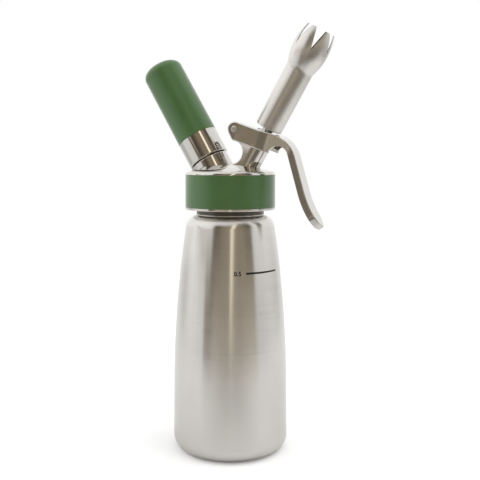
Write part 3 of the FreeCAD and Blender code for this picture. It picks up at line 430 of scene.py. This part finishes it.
# What the metal sees round it: pale walls, brightest to the left and high up, and a dark opening in front of
# them with a bright strip in it.
# Bearings are in degrees from the camera's, positive to its right, and rises are above the horizon. A pair
# of rises or bearings is where one thing gives way to the next.
BROWN = (0.285, 0.235, 0.17)
PALE_BROWN = (0.42, 0.37, 0.30)
HIGH_WALLS = [
    (-180, 1.1),
    (-90, 1.25),
    (0, 0.8),
    (90, 1.0),
    (180, 1.1),
]
CORNER = 120                        # low down, the walls are darker in a corner to each side
CORNER_HALF = 25
CORNER_TONE = 0.65
LOW_WALLS = [
    (-180, 0.9),
    (-CORNER - CORNER_HALF, 0.9),
    (-CORNER, CORNER_TONE),
    (-CORNER + CORNER_HALF, 1.0),
    (-60, 0.85),
    (60, 0.65),
    (CORNER - CORNER_HALF, 0.8),
    (CORNER, CORNER_TONE),
    (CORNER + CORNER_HALF, 0.9),
    (180, 0.9),
]
WALLS_MEET = (-4, 4)
WALLS_DIM = (-20, -8)
WALLS_DIM_BY = 0.2

HIGH_OPENING = [
    (-56, BROWN),
    (-34, [0.3 * c for c in BROWN]),
    (-14, BROWN),
    (32, BROWN),
    (44, [0.5 * c for c in BROWN]),
]
LOW_OPENING = [
    (-46, [0.5 * c for c in PALE_BROWN]),
    (-34, [1.2 * c for c in PALE_BROWN]),
    (-8, PALE_BROWN),
    (20, PALE_BROWN),
    (44, [1.3 * c for c in PALE_BROWN]),
]
OPENING_MEETS = (-2, 7)
OPENING_DIMS = (-22, -12)
OPENING_DIMS_BY = 0.55
LEFT_EDGE = (-57, -45.5)            # bearing of the opening's left edge, low down and higher up
LEFT_EDGE_RISES = (4.2, 5.8)
LEFT_BLUR = 2.5
RIGHT_EDGE = (55, 63)
RIGHT_EDGE_RISES = (0, 40)
RIGHT_BLUR = 4
TOP_EDGE = (38, 54)                 # rise of its top, which is higher to the right
TOP_EDGE_BEARINGS = (5, 35)
TOP_BLUR = (-4, 8)

# A brown card, which the lever's cheeks mirror, slopes down from the walls on the left and on behind the
# opening.
CARD_SLOPE = 0.2
CARD_DROP = 6.6                     # how far its middle would be under the horizon at bearing zero
CARD_HALF = 3.0
CARD_BLUR = 0.5
CARD_START = (-99, -97)

STRIP = (1.55, 1.4, 1.1)
STRIP_BEARING = 0.7
STRIP_LEAN = 0.29                   # degrees to the right for each degree up
STRIP_WIDTH = (1.8, 5.2)            # half its width, low down and higher up
STRIP_WIDTH_RISES = (-10, 40)
STRIP_BLUR = (0.7, 1.2)             # as shares of that half width
STRIP_FOOT = (-9, 2)
STRIP_HEAD = (40, 48)
CEILING = (52, 70)
WORLD_LIGHT = 0.82


def add_walls(n, bearing, rise):
    """Pale walls all round, and the card on them."""
    low = n.bearing_ramp(bearing, LOW_WALLS)
    high = n.bearing_ramp(bearing, HIGH_WALLS)
    walls = n.mix(n.step(rise, *WALLS_MEET), low, high)
    walls = n.mix(n.step(rise, *WALLS_DIM, WALLS_DIM_BY, 0.0), walls, grey(0.0))
    over = n.math("ADD", rise, n.math("MULTIPLY_ADD", bearing, CARD_SLOPE, CARD_DROP))
    band = n.fall(n.size_of(over), CARD_HALF - CARD_BLUR, CARD_HALF + CARD_BLUR)
    return n.mix(n.both(band, n.step(bearing, *CARD_START)), walls, (*BROWN, 1.0))


def add_opening(n, bearing, rise):
    """The dark opening, and where it is."""
    low = n.bearing_ramp(bearing, LOW_OPENING)
    high = n.bearing_ramp(bearing, HIGH_OPENING)
    opening = n.mix(n.step(rise, *OPENING_MEETS), low, high)
    opening = n.mix(n.step(rise, *OPENING_DIMS, OPENING_DIMS_BY, 0.0), opening, grey(0.0))
    left = n.minus(bearing, n.line(rise, *LEFT_EDGE_RISES, *LEFT_EDGE))
    right = n.minus(bearing, n.line(rise, *RIGHT_EDGE_RISES, *RIGHT_EDGE))
    top = n.minus(rise, n.step(bearing, *TOP_EDGE_BEARINGS, *TOP_EDGE))
    between = n.both(n.step(left, -LEFT_BLUR, LEFT_BLUR), n.fall(right, -RIGHT_BLUR, RIGHT_BLUR))
    return opening, n.both(between, n.fall(top, *TOP_BLUR))


def add_strip(n, bearing, rise):
    """Where the narrow bright strip is, which leans to the right."""
    aside = n.minus(n.math("MULTIPLY_ADD", rise, -STRIP_LEAN, bearing), STRIP_BEARING)
    wide = n.line(rise, *STRIP_WIDTH_RISES, *STRIP_WIDTH)
    strip = n.fall(n.math("DIVIDE", n.size_of(aside), wide), *STRIP_BLUR)
    return n.both(strip, n.both(n.fall(rise, *STRIP_HEAD), n.step(rise, *STRIP_FOOT)))


def make_world():
    """White behind the object, plain soft light, and walls with a dark front in the reflections."""
    world = bpy.data.worlds.new("studio")
    bpy.context.scene.world = world
    world.use_nodes = True
    n = Nodes(world.node_tree)
    ray = n.add("TexCoord").outputs["Generated"]
    turn = n.math("ARCTAN2", n.along(ray, toward(90)), n.along(ray, toward()))
    bearing = n.math("DEGREES", turn)
    rise = n.math("DEGREES", n.math("ARCSINE", n.upright(ray)))
    opening, where = add_opening(n, bearing, rise)
    room = n.mix(where, add_walls(n, bearing, rise), opening)
    room = n.mix(add_strip(n, bearing, rise), room, (*STRIP, 1.0))
    room = n.mix(n.step(rise, *CEILING), room, grey(1.0))

    path = n.add("LightPath")
    plain = n.add("Background", {"Color": grey(1.0), "Strength": WORLD_LIGHT}).outputs[0]
    seen = n.add("Background", {"Color": room, "Strength": 1.0}).outputs[0]
    white = n.add("Background", {"Color": grey(1.0), "Strength": 1.0}).outputs[0]
    light = n.choose(path.outputs["Is Glossy Ray"], plain, seen)
    through = n.math("MAXIMUM", path.outputs["Is Camera Ray"], path.outputs["Is Transmission Ray"])
    n.add("OutputWorld", {"Surface": n.choose(through, light, white)})


# ---------------------------------------------------------------- table, lamps and camera

TABLE_RADIUS = 1.4
TABLE_SEGMENTS = 128
TABLE_DROP = 0.00002                # keeps the table just clear of the bottle's foot
TABLE_BACK = 0.25                   # the middle of its white part lies this far behind the object
TABLE_FADE = (0.46, 0.60)           # and it fades out between these distances from that middle
TABLE_LIFT = 0.1                    # the camera sees it white, with a little light of its own
TABLE_TONE = 0.88                   # the steel mirrors it a little darker
SHADE_TONE = 0.62                   # and with a shaded patch on the camera's side
SHADE_AHEAD = 0.19                  # the patch's middle is this far in front of the object
SHADE_FADE = (0.03, 0.17)           # and it fades out between these distances from that middle

LAMP_SIZE = 1.0
LAMP_DISTANCE = 1.2
LAMP_TARGET = Vector((0, 0, 0.15))


def make_floor():
    """A round white table that fades into the white background and keeps the object's shadow."""
    mesh = bpy.data.meshes.new("floor")
    shape = bmesh.new()
    bmesh.ops.create_circle(shape, cap_ends=True, segments=TABLE_SEGMENTS, radius=TABLE_RADIUS)
    shape.to_mesh(mesh)
    shape.free()
    floor = add_object("floor", mesh)
    floor.location.z = -TABLE_DROP
    material, n = new_material("floor")
    place = n.place()
    from_shade = n.distance(place, SHADE_AHEAD * toward())
    shaded = n.step(from_shade, *SHADE_FADE, SHADE_TONE, TABLE_TONE)
    mirrored = n.add("BsdfDiffuse", {"Color": shaded}).outputs[0]
    white = n.add("BsdfDiffuse", {"Color": grey(1.0)}).outputs[0]
    lift = n.add("Emission", {"Color": grey(1.0), "Strength": TABLE_LIFT}).outputs[0]
    lifted = n.add("AddShader", {0: white, 1: lift}).outputs[0]
    table = n.choose(n.add("LightPath").outputs["Is Camera Ray"], mirrored, lifted)
    clear = n.add("BsdfTransparent", {"Color": grey(1.0)}).outputs[0]
    fade = n.step(n.distance(place, -TABLE_BACK * toward()), *TABLE_FADE)
    n.add("OutputMaterial", {"Surface": n.choose(fade, table, clear)})
    mesh.materials.append(material)


def add_lamp(name, bearing, elevation, power):
    """A square softbox, seen from the object at this bearing from the camera's and this elevation."""
    lamp = bpy.data.lights.new(name, "AREA")
    lamp.shape = "SQUARE"
    lamp.size = LAMP_SIZE
    lamp.energy = power
    rise = math.radians(elevation)
    out = toward(bearing) * math.cos(rise) + Vector((0, 0, math.sin(rise)))
    item = add_object(name, lamp)
    item.location = LAMP_TARGET + out * LAMP_DISTANCE
    item.rotation_euler = (-out).to_track_quat("-Z", "Y").to_euler()
    item.visible_camera = False
    item.visible_glossy = False


def make_camera():
    data = bpy.data.cameras.new("camera")
    data.sensor_width = SENSOR
    data.lens = FOCAL_LENGTH
    data.shift_x, data.shift_y = SHIFT
    data.clip_start = CLIP_START
    camera = add_object("camera", data)
    camera.location = toward() * CAMERA_DISTANCE + Vector((0, 0, CAMERA_HEIGHT))
    camera.rotation_euler = (math.radians(90), 0, math.radians(CAMERA_AZIMUTH))
    bpy.context.scene.camera = camera


make_world()
make_floor()
add_lamp("key", bearing=-80, elevation=40, power=3.0)
add_lamp("fill", bearing=80, elevation=60, power=5.0)
make_camera()
bpy.context.scene.view_settings.view_transform = "Standard"
